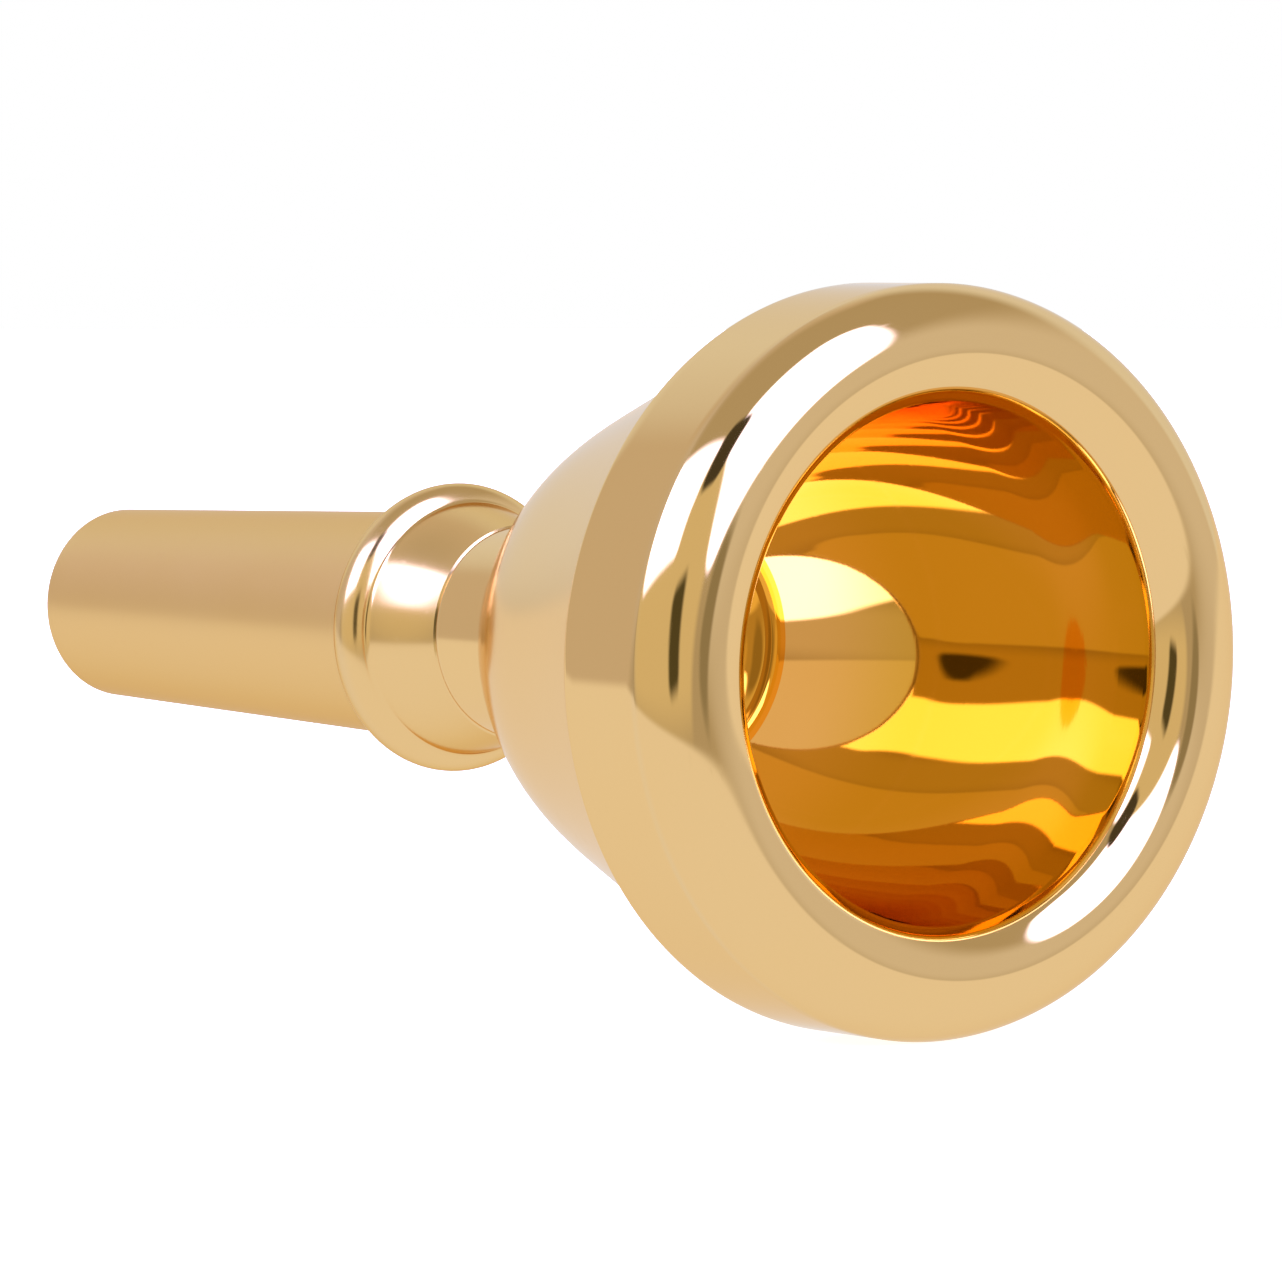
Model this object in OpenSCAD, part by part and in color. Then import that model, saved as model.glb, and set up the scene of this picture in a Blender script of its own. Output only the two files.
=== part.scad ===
// Small-shank low brass mouthpiece, turned in three pieces that screw together: rim, cup and shank.
// The axis lies along X. The shank's small end is at the origin and the rim faces +X.
// Outlines are lists of [radius, depth], where depth runs from the rim's highest circle towards the shank.
// Millimetres.

/* [Overall] */
// Length from the shank's small end to the rim's highest circle
total_length = 79.3; // [66:0.1:96]

/* [Rim] */
// Diameter of the outer band
rim_d = 38.5; // [32:0.1:47]
// Diameter of the bite, the edge where the face turns down into the cup
bite_d = 26.64; // [22:0.02:32]
// How far outside the bite the face is highest, measured along the radius
crest_from_bite = 2.6; // [1.6:0.05:3.4]
// Depth of the bite below the highest circle
bite_drop = 1.83; // [1.2:0.01:2.4]
// Depth of the edge between the face and the band
face_drop = 2.84; // [2:0.01:3.6]
// Angle of the face at the bite, from the rim's plane
bite_slope = 70; // [45:1:84]
// Angle of the face at the band's edge, from the rim's plane
face_slope = 80; // [45:1:86]
// Depth of the band's rear edge
band_rear = 8.9; // [7.5:0.05:12]
// Rounding of the band's rear edge
band_round = 0.5; // [0.1:0.05:0.8]

/* [Rim screw joint] */
// Depth of the seat where the rim meets the top of the cup
rim_seat = 4.0; // [3.4:0.05:4.8]
// Pitch of the rim thread
rim_pitch = 0.75; // [0.5:0.05:1]
// Gap left under the rim's skirt when the rim is down on its seat
skirt_gap = 0.05; // [0.02:0.01:0.2]

/* [Cup] */
// Depth at which the cup becomes the throat
cup_depth = 28.9; // [24:0.1:35]
// Diameter of the throat
throat_d = 6.6; // [5.4:0.05:7]
// Length of the straight throat between the cup and the tip of the shank's boss
throat_length = 3; // [1.5:0.1:4]
// Slope of the wall from the bite down past the seat, from the axis
wall_slope = 6.3; // [1:0.1:9]
// Depth of the waist, where the wall begins to curve in towards the floor
waist_depth = 8.8; // [7:0.1:11]
// How far the waist stands in from the bite
waist_inset = 0.62; // [0.3:0.02:1.2]
// Slope of the wall at the waist, from the axis
waist_slope = 6.4; // [1:0.1:12]
// How far the wall keeps that slope below the waist
waist_reach = 5.1; // [2:0.1:7]
// Slope of the floor down to its bend, from the axis
floor_slope = 30.2; // [24:0.2:38]
// How far the floor keeps that slope above its bend
floor_reach = 7.3; // [4:0.1:9]
// Radius of the bend at the floor's foot
floor_bend = 0.65; // [0.3:0.05:1.5]
// Slope of the foot, where the bend meets the throat's shoulder, from the axis
foot_slope = 84.6; // [60:0.2:87]
// Radius of the shoulder between the foot and the throat
throat_shoulder = 3.7; // [2:0.05:4.4]

/* [Bowl outside] */
// How far the bowl stands in from the band
bowl_step = 0.98; // [0.6:0.02:1.6]
// Slope of the bowl behind the band, from the axis
bowl_slope = 21.8; // [15:0.2:30]
// How far the bowl keeps that slope
bowl_reach = 18; // [12:0.5:20]
// Slope of the bowl where it meets the neck, from the axis
bowl_end_slope = 37.8; // [25:0.2:45]
// How far above the neck the bowl has that slope
bowl_end_reach = 14; // [8:0.5:15]
// Diameter of the neck
neck_d = 11.6; // [9.6:0.1:14]
// Length of the neck between the bowl and the collar
neck_length = 4.2; // [2:0.1:5.1]

/* [Shank screw joint] */
// Length of the shank's boss, from the collar to the seat for its tip
boss_length = 6.9; // [5.7:0.1:8.4]
// Pitch of the shank thread
boss_pitch = 0.5; // [0.35:0.05:0.6]

/* [Collar] */
// How far the collar's front edge stands out from the neck
collar_lip = 0.1; // [0.05:0.05:0.5]
// Slope of the collar's cone, from the axis
collar_slope = 11.6; // [5:0.2:25]
// Radius of the cove between the cone and the bead
cove_round = 0.4; // [0.3:0.05:0.7]
// Slope at which the cove turns into the bead, from the axis
bead_slope = 67; // [40:1:85]
// Diameter of the bead at its fullest
bead_d = 16; // [14.8:0.1:19]
// Length of the collar from the neck to the bead's fullest circle
collar_swell = 6.2; // [5.1:0.1:7.5]
// Rounding of the bead's front
bead_round = 1.35; // [0.5:0.05:1.6]
// Length from the bead's fullest circle to where it runs out on the shank
bead_fall = 2.6; // [2.1:0.1:3.4]

/* [Shank] */
// Diameter of the shank at its small end
shank_end_d = 11.05; // [9.2:0.05:13.3]
// Taper of the shank, in diameter for each unit of length
shank_taper = 0.05; // [0.03:0.005:0.06]
// Thickness of the shank's wall at its small end
shank_end_wall = 0.95; // [0.7:0.05:1.3]
// Rounding of the shank's end edge
shank_round = 0.4; // [0.1:0.05:0.5]

/* [Fits] */
// Radial gap between a thread's outside and the thread that it runs in
thread_clearance = 0.05; // [0.02:0.01:0.1]

/* [Hidden] */
gold = "#d9b778";
facets = 180;
curve_steps = 14;
round_steps = 6;

rim_r = rim_d / 2;
bite_r = bite_d / 2;
crest_r = bite_r + crest_from_bite;
mouth_r = bite_r - (rim_seat - bite_drop) * tan(wall_slope);
throat_r = throat_d / 2;
neck_r = neck_d / 2;
bowl_r = rim_r - bowl_step;
lip_r = neck_r + collar_lip;
bead_r = bead_d / 2;

// Depths below the cup follow one another down to the shank.
boss_seat = cup_depth + throat_length;
neck_end = boss_seat + boss_length;
bowl_end = neck_end - neck_length;
bead_crest = neck_end + collar_swell;
bead_rear = bead_crest + bead_fall;

// Each thread runs in the middle of the wall that it divides.
rim_thread_r = (bite_r + rim_r) / 2;
boss_r = (throat_r + neck_r) / 2;
thread_share = 0.55;
rim_thread_depth = rim_pitch * thread_share;
boss_thread_depth = boss_pitch * thread_share;
lead_in = 0.5;
relief = 0.7;
shoulder = band_rear + skirt_gap;

shank_end_r = shank_end_d / 2;
shank_length = total_length - bead_rear;
shank_top_r = shank_end_r + shank_taper / 2 * shank_length;
backbore_r = shank_end_r - shank_end_wall;

// Handle of a Bezier curve that stands in for a quarter ellipse, as a share of its radius.
quarter = 0.552;

function bezier(p0, p1, p2, p3, steps = curve_steps) = [
    for (i = [0 : steps])
        let (t = i / steps, s = 1 - t)
        s * s * s * p0 + 3 * s * s * t * p1 + 3 * s * t * t * p2 + t * t * t * p3
];

// Direction in [radius, depth] of a wall that opens outward by an angle from the axis.
function along(angle) = [sin(angle), cos(angle)];

// Direction whose angle is 0 outward along the radius and 90 towards the shank.
function toward(angle) = [cos(angle), sin(angle)];

// Arc about a centre, between two such angles.
function arc(centre, r, from, to, steps = round_steps) = [
    for (i = [0 : steps])
        centre + r * toward(from + (to - from) * i / steps)
];

function reversed(points) = [for (i = [len(points) - 1 : -1 : 0]) points[i]];

// V grooves of a thread, from one depth to the next, cut outward (side 1) or inward (side -1).
function thread(r, side, from, to, pitch, cut) =
    let (turns = floor((to - from) / pitch), flat = pitch / 8)
    [
        for (i = [0 : turns - 1])
            let (d = from + i * pitch)
            each [[r, d + flat], [r + side * cut, d + pitch / 2], [r, d + pitch - flat]]
    ];

// An outline without the points where one stretch repeats the end of the last.
function distinct(points) = [
    for (i = [0 : len(points) - 1])
        if (norm(points[i] - points[(i + 1) % len(points)]) > 0.0001) points[i]
];

// Turns an outline about the axis and lays the axis along X.
module turned(outline) {
    rotate([0, 90, 0])
        rotate_extrude($fn = facets)
            polygon([for (p = distinct(outline)) [p[0], total_length - p[1]]]);
}

// The rim's face: from the bite up over the highest circle and down to the band's edge.
function face() =
    let (
        bite = [bite_r, bite_drop],
        crest = [crest_r, 0],
        edge = [rim_r, face_drop],
        inward = (crest_r - bite_r) * quarter,
        outward = (rim_r - crest_r) * quarter
    )
    concat(
        bezier(bite, bite + bite_drop * quarter * [cos(bite_slope), -sin(bite_slope)], crest - [inward, 0], crest),
        bezier(crest, crest + [outward, 0], edge - face_drop * quarter * [cos(face_slope), sin(face_slope)], edge)
    );

// The cup's inside: down the wall to the waist, down the floor, round its bend and over the shoulder.
function cup_inside() =
    let (
        mouth = [mouth_r, rim_seat],
        waist = [bite_r - waist_inset, waist_depth],
        wall_reach = (waist_depth - rim_seat) / 3,
        shoulder_centre = [throat_r + throat_shoulder, cup_depth],
        bend_centre = shoulder_centre - (throat_shoulder + floor_bend) * toward(foot_slope),
        floor_end = bend_centre + floor_bend * toward(floor_slope)
    )
    concat(
        bezier(mouth, mouth + wall_reach * along(-wall_slope), waist - wall_reach * along(-waist_slope), waist,
               round_steps),
        bezier(waist, waist + waist_reach * along(-waist_slope), floor_end - floor_reach * along(-floor_slope),
               floor_end, 2 * curve_steps),
        arc(bend_centre, floor_bend, floor_slope, foot_slope),
        arc(shoulder_centre, throat_shoulder, 180 + foot_slope, 180, curve_steps)
    );

// The bowl's outside: from the shoulder behind the band down to the neck.
function bowl_outside() =
    let (top = [bowl_r, shoulder], base = [neck_r, bowl_end])
    bezier(top, top + bowl_reach * along(-bowl_slope), base - bowl_end_reach * along(-bowl_end_slope), base,
           2 * curve_steps);

// The collar: from its front edge up the cone, round the cove, over the bead and down to the shank.
function collar() =
    let (
        front = [lip_r, neck_end + collar_lip],
        bead_start = [bead_r, bead_crest] - bead_round * [1 - cos(bead_slope), sin(bead_slope)],
        cove_centre = bead_start + cove_round * toward(-bead_slope),
        cove_start = cove_centre + cove_round * toward(180 - collar_slope),
        cone_reach = (cove_start[1] - front[1]) / 3,
        crest = [bead_r, bead_crest],
        rear = [shank_top_r, bead_rear],
        rear_reach = [0, bead_fall * quarter]
    )
    concat(
        bezier(front, front + cone_reach * along(collar_slope), cove_start - cone_reach * along(collar_slope),
               cove_start),
        arc(cove_centre, cove_round, 180 - collar_slope, 180 - bead_slope),
        arc(crest - [bead_round, 0], bead_round, -bead_slope, 0),
        bezier(crest, crest + rear_reach, rear - rear_reach, rear)
    );

// The rim ring, with its threaded skirt.
module rim() {
    bore = rim_thread_r + thread_clearance;
    color(gold)
        turned(concat(
            face(),
            arc([rim_r - band_round, band_rear - band_round], band_round, 0, 90),
            [[bore + lead_in, band_rear]],
            reversed(thread(bore, 1, rim_seat + relief, band_rear - lead_in, rim_pitch, rim_thread_depth)),
            [[bore, rim_seat], [mouth_r, rim_seat]]
        ));
}

// The bowl, with the spigot that carries the rim and the socket that takes the shank.
module cup() {
    root = rim_thread_r - rim_thread_depth;
    socket = boss_r + thread_clearance;
    color(gold)
        turned(concat(
            [[rim_thread_r - lead_in, rim_seat]],
            thread(rim_thread_r, -1, rim_seat + lead_in, shoulder - relief, rim_pitch, rim_thread_depth),
            [[root, shoulder - relief], [root, shoulder]],
            bowl_outside(),
            [[neck_r, neck_end], [socket + lead_in, neck_end]],
            reversed(thread(socket, 1, boss_seat + relief, neck_end - lead_in, boss_pitch, boss_thread_depth)),
            [[socket, boss_seat], [throat_r, boss_seat]],
            reversed(cup_inside())
        ));
}

// The collar and tapered shank, with the boss that screws up into the neck.
module shank() {
    root = boss_r - boss_thread_depth;
    color(gold)
        turned(concat(
            [[throat_r, boss_seat], [boss_r - lead_in, boss_seat]],
            thread(boss_r, -1, boss_seat + lead_in, neck_end - relief, boss_pitch, boss_thread_depth),
            [[root, neck_end - relief], [root, neck_end], [neck_r, neck_end]],
            collar(),
            arc([shank_end_r - shank_round, total_length - shank_round], shank_round, 0, 90),
            [[backbore_r, total_length]]
        ));
}

rim();
cup();
shank();
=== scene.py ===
import math

import bpy
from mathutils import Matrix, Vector


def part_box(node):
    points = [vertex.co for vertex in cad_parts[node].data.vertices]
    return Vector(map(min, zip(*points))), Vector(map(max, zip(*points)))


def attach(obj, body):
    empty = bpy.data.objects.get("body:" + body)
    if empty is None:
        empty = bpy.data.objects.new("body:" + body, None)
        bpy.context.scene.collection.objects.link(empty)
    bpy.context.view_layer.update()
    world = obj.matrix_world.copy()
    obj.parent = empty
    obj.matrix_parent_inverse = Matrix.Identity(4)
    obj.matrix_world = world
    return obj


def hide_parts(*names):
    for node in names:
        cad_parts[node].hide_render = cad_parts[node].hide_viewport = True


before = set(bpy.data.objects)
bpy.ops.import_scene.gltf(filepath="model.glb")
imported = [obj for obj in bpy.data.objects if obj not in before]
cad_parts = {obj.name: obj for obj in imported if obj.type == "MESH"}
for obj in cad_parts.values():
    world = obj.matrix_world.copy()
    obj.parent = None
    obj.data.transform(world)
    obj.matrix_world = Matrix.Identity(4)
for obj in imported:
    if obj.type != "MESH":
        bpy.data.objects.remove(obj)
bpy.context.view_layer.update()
mm = 0.001

# ---------------------------------------------------------------------------------------------
# Rim. A turned brass ring with a rounded face, a narrow bite and a flat outer band, plated and
# buffed to a mirror. Its skirt is threaded inside and screws down on the cup's spigot.
# Every outline is a list of (radius, depth) in millimetres, the depth measured from the face.

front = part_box("rim")[1].x / mm
rim_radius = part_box("rim")[1].z / mm
bite_radius = 13.32
bite_depth = 1.83
crest_radius = 15.92
crease_depth = 2.84
bite_slope = 70
face_slope = 80
band_rear = 8.9
band_round = 0.5
seat_depth = 4.0
wall_slope = 6.3
mouth_radius = bite_radius - (seat_depth - bite_depth) * math.tan(math.radians(wall_slope))
rim_thread = (bite_radius + rim_radius) / 2
rim_pitch = 0.75
thread_share = 0.55
thread_gap = 0.05
thread_lead = 0.5
thread_relief = 0.7
relief_step = 0.01
quarter = 0.552
turns_around = 288
sharp_angle = 32


def point(radius, depth):
    return Vector((radius, depth))


def toward(degrees):
    """Unit step whose angle is measured from the radius towards the shank."""
    return Vector((math.cos(math.radians(degrees)), math.sin(math.radians(degrees))))


def curve(start, lead_out, lead_in, end, steps):
    """Bezier curve; the two leads are steps from its ends. The end point itself is left out."""
    a, b, c, d = start, start + lead_out, end + lead_in, end
    points = []
    for i in range(steps):
        t = i / steps
        s = 1 - t
        points.append(a * s ** 3 + b * 3 * s * s * t + c * 3 * s * t * t + d * t ** 3)
    return points


def arc(centre, radius, first, last, steps):
    return [centre + radius * toward(first + (last - first) * i / steps) for i in range(steps + 1)]


def straight(start, end, steps):
    """Points along a straight stretch, without its end."""
    return [start.lerp(end, i / steps) for i in range(steps)]


def turned(name, outline):
    """Turns an outline about the axis into a closed skin, with its faces outward."""
    count = len(outline)
    places, faces = [], []
    for step in range(turns_around):
        turn = math.tau * step / turns_around
        places += [((front - p.y) * mm, p.x * mm * math.sin(turn), p.x * mm * math.cos(turn))
                   for p in outline]
        here, there = step * count, (step + 1) % turns_around * count
        for i in range(count):
            j = (i + 1) % count
            faces.append((here + i, there + i, there + j, here + j))
    mesh = bpy.data.meshes.new(name)
    mesh.from_pydata(places, [], faces)
    mesh.shade_smooth()
    mesh.set_sharp_from_angle(angle=math.radians(sharp_angle))
    piece = bpy.data.objects.new(name, mesh)
    bpy.context.scene.collection.objects.link(piece)
    return piece


def cut_thread(piece, radius, side, first, last, pitch):
    """Cuts a helical V groove into a plain wall between two depths, fading out at both ends."""
    fade_length = 0.6 * pitch
    half_groove = 0.375
    for v in piece.data.vertices:
        r = math.hypot(v.co.y, v.co.z) / mm
        depth = front - v.co.x / mm
        if abs(r - radius) > 0.01 or not first < depth < last:
            continue
        turn = (depth / pitch + math.atan2(v.co.z, v.co.y) / math.tau) % 1
        fade = min(1, (depth - first) / fade_length, (last - depth) / fade_length)
        groove = max(0, 1 - abs(turn - 0.5) / half_groove) * fade * thread_share * pitch * side
        v.co.y *= (r + groove) / r
        v.co.z *= (r + groove) / r


bite = point(bite_radius, bite_depth)
crest = point(crest_radius, 0)
crease = point(rim_radius, crease_depth)
inward = (crest_radius - bite_radius) * quarter
outward = (rim_radius - crest_radius) * quarter
bore = rim_thread + thread_gap
rim_outline = (
    curve(bite, bite_depth * quarter * toward(-bite_slope), point(-inward, 0), crest, 30)
    + curve(crest, point(outward, 0), crease_depth * quarter * -toward(face_slope), crease, 44)
    + straight(crease, point(rim_radius, band_rear - band_round), 10)
    + arc(point(rim_radius - band_round, band_rear - band_round), band_round, 0, 90, 8)
    + [point(bore + thread_lead, band_rear)]
    + straight(point(bore, band_rear - thread_lead), point(bore, seat_depth), 48)
    + [point(bore, seat_depth)]
    + straight(point(mouth_radius, seat_depth), bite, 6)
)
rim = turned("rim_ring", rim_outline)
cut_thread(rim, bore, 1, seat_depth + thread_relief, band_rear - thread_lead, rim_pitch)


def maths(nodes, links, operation, *values):
    """One arithmetic node; each value is a number or another node's output."""
    node = nodes.new("ShaderNodeMath")
    node.operation = operation
    for socket, value in zip(node.inputs, values):
        if isinstance(value, (int, float)):
            socket.default_value = value
        else:
            links.new(value, socket)
    return node.outputs[0]


def ramp(nodes, links, value, low, high, top=1.0):
    """Smooth rise from nothing at low to top at high."""
    node = nodes.new("ShaderNodeMapRange")
    node.interpolation_type = "SMOOTHSTEP"
    links.new(value, node.inputs["Value"])
    node.inputs["To Max"].default_value = top
    for name, end in (("From Min", low), ("From Max", high)):
        if isinstance(end, (int, float)):
            node.inputs[name].default_value = end
        else:
            links.new(end, node.inputs[name])
    return node.outputs[0]


def mixed(nodes, links, share, first, second):
    """Colour between two others; each is a plain colour or another node's output."""
    node = nodes.new("ShaderNodeMix")
    node.data_type = "RGBA"
    links.new(share, node.inputs["Factor"])
    for name, colour in (("A", first), ("B", second)):
        if isinstance(colour, tuple):
            node.inputs[name].default_value = (*colour, 1)
        else:
            links.new(colour, node.inputs[name])
    return node.outputs["Result"]


def lathe_marks():
    """What the lathe and the buffing wheel leave: fine lines that run round the axis, a slight
    waviness and soft cloudy patches. Lines and Waves are heights, Clouds and Scratches masks."""
    group = bpy.data.node_groups.new("lathe_marks", "ShaderNodeTree")
    face = group.interface
    for name, value in (("Line Spacing", 0.00012), ("Wave Size", 0.006), ("Cloud Size", 0.012)):
        socket = face.new_socket(name=name, in_out="INPUT", socket_type="NodeSocketFloat")
        socket.default_value = value
    for name in ("Lines", "Waves", "Clouds", "Scratches"):
        face.new_socket(name=name, in_out="OUTPUT", socket_type="NodeSocketFloat")
    nodes, links = group.nodes, group.links
    given = nodes.new("NodeGroupInput")
    result = nodes.new("NodeGroupOutput")
    place = nodes.new("ShaderNodeTexCoord").outputs["Object"]
    split = nodes.new("ShaderNodeSeparateXYZ")
    links.new(place, split.inputs[0])
    x, y, z = split.outputs

    def calc(operation, *values):
        return maths(nodes, links, operation, *values)

    radius = calc("SQRT", calc("ADD", calc("MULTIPLY", y, y), calc("MULTIPLY", z, z)))
    radius = calc("MAXIMUM", radius, 1e-5)
    round_y = calc("DIVIDE", y, radius)
    round_z = calc("DIVIDE", z, radius)

    def noise(along, across, size, spread, detail):
        """Noise stretched round the axis: spread is how often it changes in a turn."""
        join = nodes.new("ShaderNodeCombineXYZ")
        links.new(calc("DIVIDE", along, size), join.inputs[0])
        links.new(calc("DIVIDE", across, size), join.inputs[1])
        links.new(calc("MULTIPLY", round_y, spread), join.inputs[2])
        texture = nodes.new("ShaderNodeTexNoise")
        texture.noise_dimensions = "4D"
        texture.inputs["Scale"].default_value = 1
        texture.inputs["Detail"].default_value = detail
        links.new(join.outputs[0], texture.inputs["Vector"])
        links.new(calc("MULTIPLY", round_z, spread), texture.inputs["W"])
        return texture.outputs["Fac"]

    line_spacing = given.outputs["Line Spacing"]
    lines = noise(x, radius, line_spacing, spread=0.6, detail=2.0)
    links.new(lines, result.inputs["Lines"])
    waves = noise(x, radius, given.outputs["Wave Size"], spread=2.2, detail=1.0)
    links.new(waves, result.inputs["Waves"])
    clouds = nodes.new("ShaderNodeTexNoise")
    clouds.inputs["Detail"].default_value = 4
    clouds.inputs["Roughness"].default_value = 0.6
    links.new(place, clouds.inputs["Vector"])
    links.new(calc("DIVIDE", 1, given.outputs["Cloud Size"]), clouds.inputs["Scale"])
    links.new(clouds.outputs["Fac"], result.inputs["Clouds"])
    scratch = noise(x, radius, calc("MULTIPLY", line_spacing, 2.5), spread=9, detail=1.0)
    sharp = nodes.new("ShaderNodeMapRange")
    sharp.inputs["From Min"].default_value = 0.66
    sharp.inputs["From Max"].default_value = 0.74
    links.new(scratch, sharp.inputs["Value"])
    links.new(sharp.outputs[0], result.inputs["Scratches"])
    return group


marks = lathe_marks()


def gold_plate(name, colour, worn, roughness, haze, line_height, wave_height, spacing, edges,
               glance, hollow=(0, 0), satin_from=0, satin=0.0):
    """Gold plate over turned brass. Worn is the thinner plate's colour, haze what the cloudy
    patches add to the roughness, edges the rubbed circles as (place along the axis, radius,
    width), and satin what the plate gains in roughness behind a place along the axis. Glance
    is the colour of a grazed edge. Hollow is a radius at the face and its fall with depth: the
    plate inside it is mirror bright and painted a deeper orange, painted light for the light
    bounced round inside the hollow. It is paler towards the cup's floor, and the throat below it
    is painted redder still for the same bounced light."""
    material = bpy.data.materials.new(name)
    material.use_nodes = True
    nodes, links = material.node_tree.nodes, material.node_tree.links
    shader = nodes["Principled BSDF"]
    shader.inputs["Metallic"].default_value = 1
    lathe = nodes.new("ShaderNodeGroup")
    lathe.node_tree = marks
    lathe.inputs["Line Spacing"].default_value = spacing
    lines, waves, clouds, scratches = (
        lathe.outputs[mark] for mark in ("Lines", "Waves", "Clouds", "Scratches"))

    def calc(operation, *values):
        return maths(nodes, links, operation, *values)

    def length(across, up):
        across, up = calc("MULTIPLY", across, across), calc("MULTIPLY", up, up)
        return calc("SQRT", calc("ADD", across, up))

    split = nodes.new("ShaderNodeSeparateXYZ")
    links.new(nodes.new("ShaderNodeTexCoord").outputs["Object"], split.inputs[0])
    x, y, z = split.outputs
    radius = length(y, z)
    depth = calc("SUBTRACT", front * mm, x)

    rubbed = 0.0
    for edge_depth, edge_radius, width in edges:
        away = length(calc("SUBTRACT", x, (front - edge_depth) * mm),
                      calc("SUBTRACT", radius, edge_radius * mm))
        rubbed = calc("MAXIMUM", rubbed, ramp(nodes, links, away, width * mm, 0))
    rub_strength, thin_above, thin_share = 1.3, 0.35, 0.5
    rubbed = calc("MULTIPLY", rubbed, calc("MULTIPLY", clouds, rub_strength))
    thin = calc("MULTIPLY", calc("SUBTRACT", clouds, thin_above), thin_share)
    thin = calc("ADD", thin, rubbed)
    outside = mixed(nodes, links, thin, colour, worn)

    edge_sharpness = 2e5
    # Painted light: inside the hollow the colour is painted a deeper orange for light bounced
    # round inside, paler towards the cup's floor, and painted redder still in the throat.
    floor_begins, floor_whole, throat_begins = 17, 23, 24.7
    limit = calc("SUBTRACT", hollow[0] * mm, calc("MULTIPLY", depth, hollow[1]))
    within = calc("MULTIPLY", calc("SUBTRACT", limit, radius), edge_sharpness)
    within = calc("MINIMUM", calc("MAXIMUM", within, 0), 1)
    floor_share = ramp(nodes, links, depth, floor_begins * mm, floor_whole * mm)
    in_throat = calc("GREATER_THAN", depth, throat_begins * mm)
    wall = mixed(nodes, links, floor_share, painted_bounce_gold, floor_gold)
    inside = mixed(nodes, links, in_throat, wall, painted_throat_bounce_gold)
    links.new(mixed(nodes, links, within, outside, inside), shader.inputs["Base Color"])
    links.new(mixed(nodes, links, within, glance, (1, 1, 1)), shader.inputs["Specular Tint"])

    scratch_haze, rubbed_haze, satin_fade, mirror = 0.05, 0.06, 2, 0.03
    dull = calc("ADD", calc("MULTIPLY", clouds, haze), roughness)
    dull = calc("ADD", dull, calc("MULTIPLY", scratches, scratch_haze))
    dull = calc("ADD", dull, calc("MULTIPLY", rubbed, rubbed_haze))
    dull = calc("ADD", dull, ramp(nodes, links, depth, satin_from * mm,
                                  (satin_from + satin_fade) * mm, satin))
    shine = nodes.new("ShaderNodeMix")
    links.new(within, shine.inputs["Factor"])
    links.new(dull, shine.inputs["A"])
    shine.inputs["B"].default_value = mirror
    links.new(shine.outputs["Result"], shader.inputs["Roughness"])

    height = calc("MULTIPLY", waves, wave_height)
    height = calc("ADD", calc("MULTIPLY", lines, line_height), height)
    height = calc("SUBTRACT", height, calc("MULTIPLY", scratches, line_height))
    bump = nodes.new("ShaderNodeBump")
    bump.inputs["Distance"].default_value = 1e-6
    links.new(height, bump.inputs["Height"])
    links.new(bump.outputs["Normal"], shader.inputs["Normal"])
    return material


# The deeper orange and the red used inside the hollows are painted light, standing in for light
# bounced round inside them.
gold = (0.90, 0.625, 0.285)
thin_gold = (0.88, 0.64, 0.33)
painted_bounce_gold = (0.83, 0.593, 0.155)
floor_gold = (0.92, 0.655, 0.32)
painted_throat_bounce_gold = (0.95, 0.42, 0.04)
# Inside the bite the colour is painted light: the deeper orange of light bounced round inside the
# cup.
rim.data.materials.append(gold_plate(
    "rim_gold", gold, thin_gold, roughness=0.035, haze=0.03, line_height=0.12, wave_height=6,
    spacing=0.00012, edges=[(crease_depth, rim_radius, 0.35), (band_rear, rim_radius, 0.5),
                            (bite_depth, bite_radius, 0.4)],
    glance=(0.93, 0.82, 0.66), hollow=(13.31, 0)))
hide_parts("rim")
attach(rim, "rim")

# ---------------------------------------------------------------------------------------------
# Cup. The bowl is turned from one bar: a spigot for the rim on top, the cup and throat inside
# and a neck below, bored and threaded for the shank.

shoulder = band_rear + 0.05
throat_radius = 3.3
throat_length = 3.0
cup_depth = 28.9
bowl_step = 0.98
bowl_radius = rim_radius - bowl_step
bowl_slope = 21.8
bowl_reach = 18
bowl_end_slope = 37.8
bowl_end_reach = 14
neck_radius = 5.8
neck_length = 4.2
boss_radius = (throat_radius + neck_radius) / 2
boss_length = 6.9
boss_pitch = 0.5
boss_seat = cup_depth + throat_length
neck_end = boss_seat + boss_length
bowl_end = neck_end - neck_length
socket = boss_radius + thread_gap
spigot_root = rim_thread - thread_share * rim_pitch
waist_depth = 8.8
waist_inset = 0.62
waist_slope = 6.4
waist_reach = 5.1
floor_slope = 30.2
floor_reach = 7.3
floor_bend = 0.65
foot_slope = 84.6
throat_shoulder = 3.7


def down(degrees):
    """Unit step towards the shank along a wall that opens outward by an angle from the axis."""
    return Vector((math.sin(math.radians(degrees)), math.cos(math.radians(degrees))))


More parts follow.
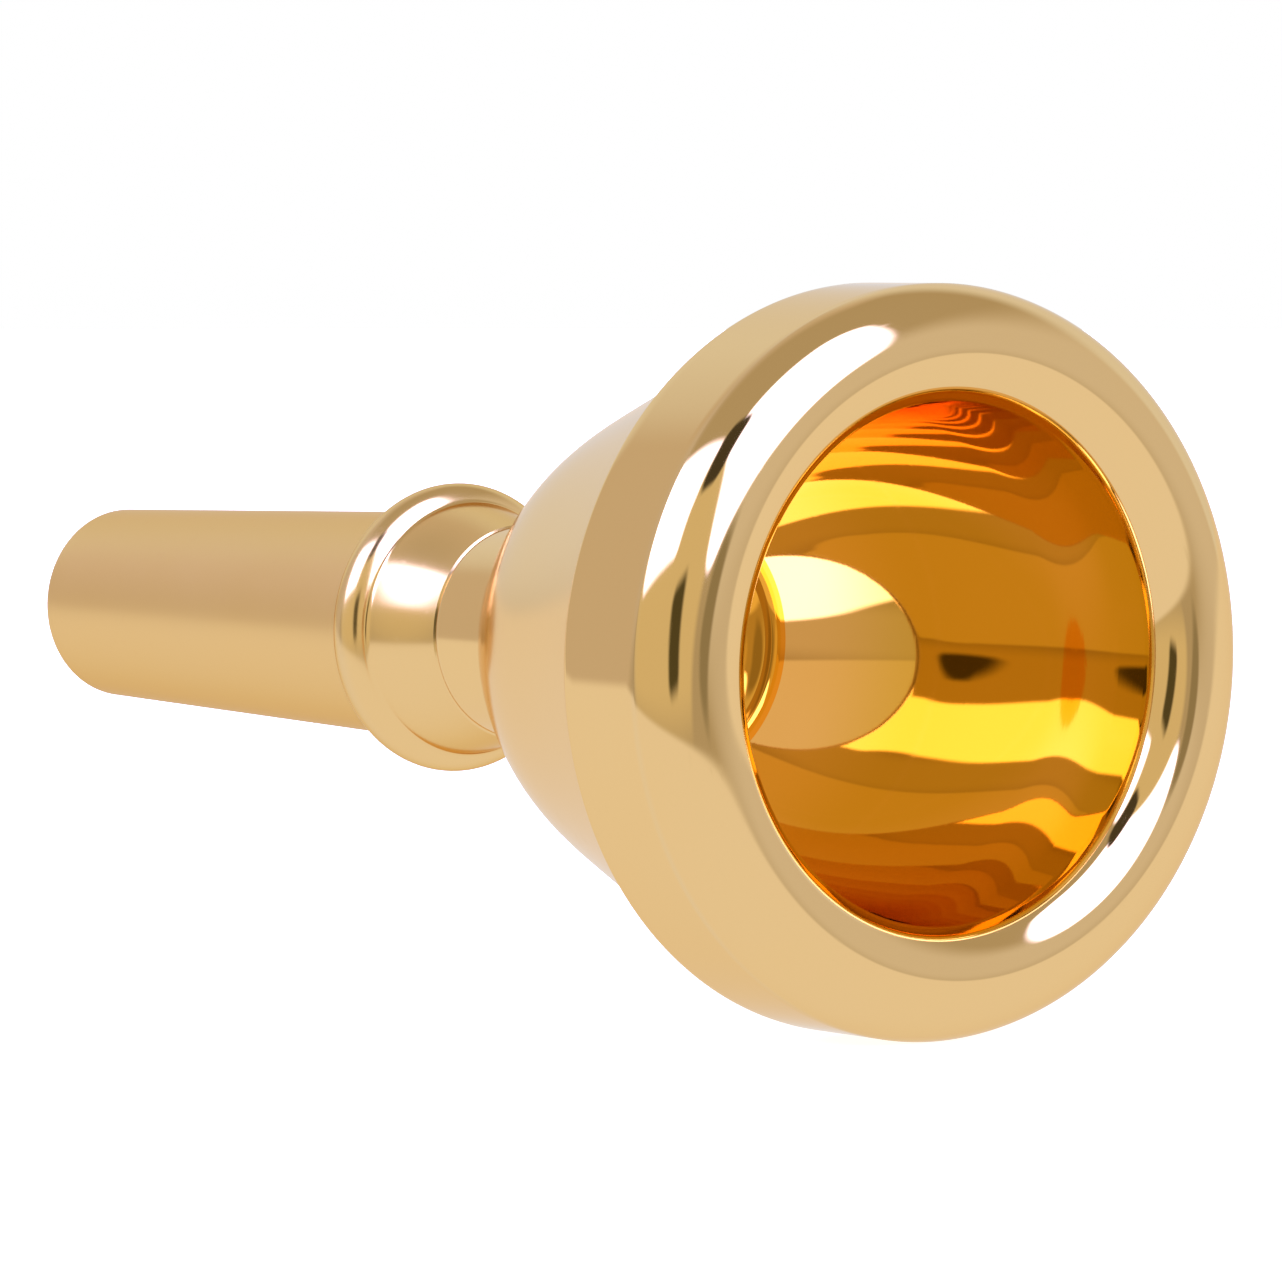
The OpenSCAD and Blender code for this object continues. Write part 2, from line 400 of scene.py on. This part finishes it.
mouth = point(mouth_radius, seat_depth)
waist = point(bite_radius - waist_inset, waist_depth)
wall_reach = (waist.y - seat_depth) / 3
shoulder_centre = point(throat_radius + throat_shoulder, cup_depth)
bend_centre = shoulder_centre - (throat_shoulder + floor_bend) * toward(foot_slope)
floor_end = bend_centre + floor_bend * toward(floor_slope)
cup_inside = (
    curve(mouth, wall_reach * down(-wall_slope), -wall_reach * down(-waist_slope), waist, 20)
    + curve(waist, waist_reach * down(-waist_slope), -floor_reach * down(-floor_slope),
            floor_end, 72)
    + arc(bend_centre, floor_bend, floor_slope, foot_slope, 16)[:-1]
    + arc(shoulder_centre, throat_shoulder, 180 + foot_slope, 180, 36)
)
spigot_from = seat_depth + thread_lead
spigot_to = shoulder - thread_relief
cup_outline = (
    [point(rim_thread - thread_lead, seat_depth)]
    + straight(point(rim_thread, spigot_from), point(rim_thread, spigot_to), 44)
    + [point(rim_thread, spigot_to), point(spigot_root, spigot_to + relief_step),
       point(spigot_root, shoulder)]
    + curve(point(bowl_radius, shoulder), bowl_reach * down(-bowl_slope),
            -bowl_end_reach * down(-bowl_end_slope), point(neck_radius, bowl_end), 60)
    + [point(neck_radius, bowl_end), point(neck_radius, neck_end),
       point(socket + thread_lead, neck_end)]
    + straight(point(socket, neck_end - thread_lead), point(socket, boss_seat), 80)
    + [point(socket, boss_seat), point(throat_radius, boss_seat)]
    + cup_inside[::-1]
)
cup = turned("cup_bowl", cup_outline)
cut_thread(cup, rim_thread, -1, spigot_from, spigot_to, rim_pitch)
cut_thread(cup, socket, 1, boss_seat + thread_relief, neck_end - thread_lead, boss_pitch)
# Inside the cup and throat the colour is painted light: a deeper orange and a red for light
# bounced round inside.
cup.data.materials.append(gold_plate(
    "bowl_gold", gold, thin_gold, roughness=0.10, haze=0.05, line_height=0.15, wave_height=2,
    spacing=0.00016, edges=[(shoulder, bowl_radius, 0.4), (neck_end, neck_radius, 0.3)],
    glance=(0.95, 0.86, 0.74), hollow=(16.5, 0.33)))
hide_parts("cup")
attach(cup, "cup")

# ---------------------------------------------------------------------------------------------
# Shank. A collar and a long plain taper, bored right through, with a threaded boss that goes up
# into the cup's neck. It is left with a softer shine than the rim.

lip = 0.1
bead_radius = 8.0
collar_swell = 6.2
bead_fall = 2.6
bead_crest = neck_end + collar_swell
bead_rear = bead_crest + bead_fall
bead_round = 1.35
bead_slope = 67
cove_round = 0.4
cone_slope = 11.6
end_radius = 5.525
end_round = 0.4
end_wall = 0.95
taper = 0.025
shank_top = end_radius + taper * (front - bead_rear)
boss_root = boss_radius - thread_share * boss_pitch
boss_from = boss_seat + thread_lead
boss_to = neck_end - thread_relief
collar_front = point(neck_radius + lip, neck_end + lip)
bead_centre = point(bead_radius - bead_round, bead_crest)
cove_centre = bead_centre + (bead_round + cove_round) * toward(-bead_slope)
cove_start = cove_centre + cove_round * toward(180 - cone_slope)
cone_reach = (cove_start.y - collar_front.y) / 3 * down(cone_slope)
bead_peak = point(bead_radius, bead_crest)
taper_top = point(shank_top, bead_rear)
rear_reach = point(0, quarter * bead_fall)
end_centre = point(end_radius - end_round, front - end_round)
shank_outline = (
    [point(throat_radius, boss_seat), point(boss_radius - thread_lead, boss_seat)]
    + straight(point(boss_radius, boss_from), point(boss_radius, boss_to), 84)
    + [point(boss_radius, boss_to), point(boss_root, boss_to + relief_step),
       point(boss_root, neck_end), point(neck_radius, neck_end)]
    + curve(collar_front, cone_reach, -cone_reach, cove_start, 30)
    + arc(cove_centre, cove_round, 180 - cone_slope, 180 - bead_slope, 14)[:-1]
    + arc(bead_centre, bead_round, -bead_slope, 0, 24)[:-1]
    + curve(bead_peak, rear_reach, -rear_reach, taper_top, 40)
    + straight(taper_top, point(end_radius, front - end_round), 24)
    + arc(end_centre, end_round, 0, 90, 8)
    + straight(point(end_radius - end_wall, front), point(throat_radius, boss_seat), 30)
)
shank = turned("tapered_shank", shank_outline)
cut_thread(shank, boss_radius, -1, boss_from, boss_to, boss_pitch)
shank.data.materials.append(gold_plate(
    "shank_gold", gold, thin_gold, roughness=0.13, haze=0.06, line_height=0.3, wave_height=8,
    spacing=0.0002, edges=[(front, end_radius, 0.8), (bead_crest, bead_radius, 0.8)],
    glance=(0.85, 0.67, 0.43), satin_from=bead_crest + 1, satin=0.14))
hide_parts("shank")
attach(shank, "shank")

# ---------------------------------------------------------------------------------------------
# Studio. A white table under the piece, two softboxes above and in front with a dark gap between
# them, a tan wall behind the camera and a bright backdrop. All of it is the world's light.

world = bpy.data.worlds.new("studio")
bpy.context.scene.world = world
world.use_nodes = True
sky, sky_links = world.node_tree.nodes, world.node_tree.links
sky.clear()


def heading(azimuth, elevation):
    a, e = math.radians(azimuth), math.radians(elevation)
    return Vector((math.cos(e) * math.cos(a), math.cos(e) * math.sin(a), math.sin(e)))


def card_group():
    """Mask of a rectangular card seen in a direction, in front of the given facing direction."""
    group = bpy.data.node_groups.new("card", "ShaderNodeTree")
    face = group.interface
    for name, kind in (("Direction", "NodeSocketVector"), ("Facing", "NodeSocketVector"),
                       ("Across", "NodeSocketVector"), ("Up", "NodeSocketVector"),
                       ("Width", "NodeSocketFloat"), ("Height", "NodeSocketFloat"),
                       ("Corner", "NodeSocketFloat"), ("Softness", "NodeSocketFloat")):
        face.new_socket(name=name, in_out="INPUT", socket_type=kind)
    face.new_socket(name="Mask", in_out="OUTPUT", socket_type="NodeSocketFloat")
    nodes, links = group.nodes, group.links
    given = nodes.new("NodeGroupInput")
    result = nodes.new("NodeGroupOutput")

    def calc(operation, *values):
        return maths(nodes, links, operation, *values)

    def along(name):
        node = nodes.new("ShaderNodeVectorMath")
        node.operation = "DOT_PRODUCT"
        links.new(given.outputs["Direction"], node.inputs[0])
        links.new(given.outputs[name], node.inputs[1])
        return node.outputs["Value"]

    def past(name, half):
        """How far the direction lies past the card's edge, with the rounded corner let in."""
        off = calc("ABSOLUTE", calc("DIVIDE", along(name), ahead))
        off = calc("ADD", calc("SUBTRACT", off, given.outputs[half]), given.outputs["Corner"])
        return calc("POWER", calc("MAXIMUM", off, 0), 2)

    least_ahead, hidden_below = 0.02, 0.03
    ahead = calc("MAXIMUM", along("Facing"), least_ahead)
    reach = calc("SQRT", calc("ADD", past("Across", "Width"), past("Up", "Height")))
    inside = calc("SUBTRACT", given.outputs["Corner"], reach)
    softness = given.outputs["Softness"]
    mask = ramp(nodes, links, inside, calc("MULTIPLY", softness, -1), softness)
    in_front = calc("GREATER_THAN", along("Facing"), hidden_below)
    links.new(calc("MULTIPLY", mask, in_front), result.inputs["Mask"])
    return group


card_mask = card_group()
ray = sky.new("ShaderNodeTexCoord").outputs["Generated"]
room_tan = (0.48, 0.43, 0.35)
table_white = (0.87, 0.85, 0.86)
softbox_white = (3.5, 3.5, 7)
painted = room_tan


def card(azimuth, elevation, width, height, colour, roll=0, corner=0.0, soft=0.03):
    """Paints a card over what is painted so far. Width and height are full angles, in degrees."""
    global painted
    facing = heading(azimuth, elevation)
    across = heading(azimuth + 90, 0)
    up = facing.cross(across)
    turn = math.radians(roll)
    node = sky.new("ShaderNodeGroup")
    node.node_tree = card_mask
    sky_links.new(ray, node.inputs["Direction"])
    node.inputs["Facing"].default_value = facing
    node.inputs["Across"].default_value = math.cos(turn) * across + math.sin(turn) * up
    node.inputs["Up"].default_value = math.cos(turn) * up - math.sin(turn) * across
    node.inputs["Width"].default_value = math.tan(math.radians(width / 2))
    node.inputs["Height"].default_value = math.tan(math.radians(height / 2))
    node.inputs["Corner"].default_value = corner
    node.inputs["Softness"].default_value = soft
    painted = mixed(sky, sky_links, node.outputs["Mask"], painted, colour)


# The backdrops and the wall, then the two softboxes, then the dark things in front.
card(190, 26, 84, 56, (0.65, 0.595, 0.58), roll=-20, corner=0.1, soft=0.19)
card(72, 14, 140, 48, (0.70, 0.68, 0.70), roll=-3, corner=0.43, soft=0.25)
card(137, 20, 104, 48, (0.80, 0.86, 1.0), roll=7, corner=0.45, soft=0.22)
card(291, 19, 108, 70, (0.72, 0.64, 0.46), corner=0.22, soft=0.25)
card(0, 45, 49, 64, softbox_white, roll=14, corner=0.24, soft=0.04)
card(258, 38.5, 45, 33, softbox_white, roll=19, corner=0.05, soft=0.05)
card(304, 53, 18, 21, (0.07, 0.06, 0.04), corner=0.09, soft=0.03)
card(309, 6, 18, 26, (0.09, 0.08, 0.04), roll=10, corner=0.08, soft=0.05)
card(5, 2, 17, 20, (0.30, 0.27, 0.20), roll=-30, corner=0.13, soft=0.05)

# The table fills the lower half, up to a horizon that stands highest behind the piece.
horizon = 0.093
horizon_blur = 0.02
level = sky.new("ShaderNodeVectorMath")
level.operation = "DOT_PRODUCT"
sky_links.new(ray, level.inputs[0])
level.inputs[1].default_value = heading(128, -78.6)
below = ramp(sky, sky_links, level.outputs["Value"], horizon - horizon_blur,
             horizon + horizon_blur)
painted = mixed(sky, sky_links, below, painted, table_white)

# The camera itself sees plain white behind the piece.
to_camera = sky.new("ShaderNodeLightPath").outputs["Is Camera Ray"]
painted = mixed(sky, sky_links, to_camera, painted, (1, 1, 1))
background = sky.new("ShaderNodeBackground")
sky_links.new(painted, background.inputs["Color"])
out = sky.new("ShaderNodeOutputWorld")
sky_links.new(background.outputs[0], out.inputs["Surface"])

# A wide pale floor just under the rim. It takes a faint shadow, and from below it is clear.
floor_drop = 0.05
bpy.ops.mesh.primitive_circle_add(vertices=96, radius=3, fill_type="NGON",
                                  location=(0, 0, -(rim_radius + floor_drop) * mm))
floor = bpy.context.object
floor.name = "floor"
floor.visible_glossy = False
pale = bpy.data.materials.new("pale_floor")
pale.use_nodes = True
nodes, links = pale.node_tree.nodes, pale.node_tree.links
shader = nodes["Principled BSDF"]
shader.inputs["Base Color"].default_value = (0.8, 0.8, 0.8, 1)
shader.inputs["Roughness"].default_value = 1
shader.inputs["Specular IOR Level"].default_value = 0
shader.inputs["Emission Color"].default_value = (1, 1, 1, 1)
shader.inputs["Emission Strength"].default_value = 0.8
clear = nodes.new("ShaderNodeBsdfTransparent")
side = nodes.new("ShaderNodeMixShader")
links.new(nodes.new("ShaderNodeNewGeometry").outputs["Backfacing"], side.inputs[0])
links.new(shader.outputs[0], side.inputs[1])
links.new(clear.outputs[0], side.inputs[2])
links.new(side.outputs[0], nodes["Material Output"].inputs["Surface"])
floor.data.materials.append(pale)

camera_data = bpy.data.cameras.new("camera")
camera_data.sensor_width = 36
camera_data.lens = 197.1
camera_data.clip_start = 0.01
camera = bpy.data.objects.new("camera", camera_data)
bpy.context.scene.collection.objects.link(camera)
camera.location = Vector((351.96, -224.36, 21.11)) * mm
view_direction = Vector((-0.80015, 0.59717, -0.05618))
camera.rotation_euler = view_direction.to_track_quat("-Z", "Y").to_euler()
bpy.context.scene.camera = camera
bpy.context.scene.view_settings.view_transform = "Standard"
bpy.context.scene.cycles.max_bounces = 24
bpy.context.scene.cycles.glossy_bounces = 24
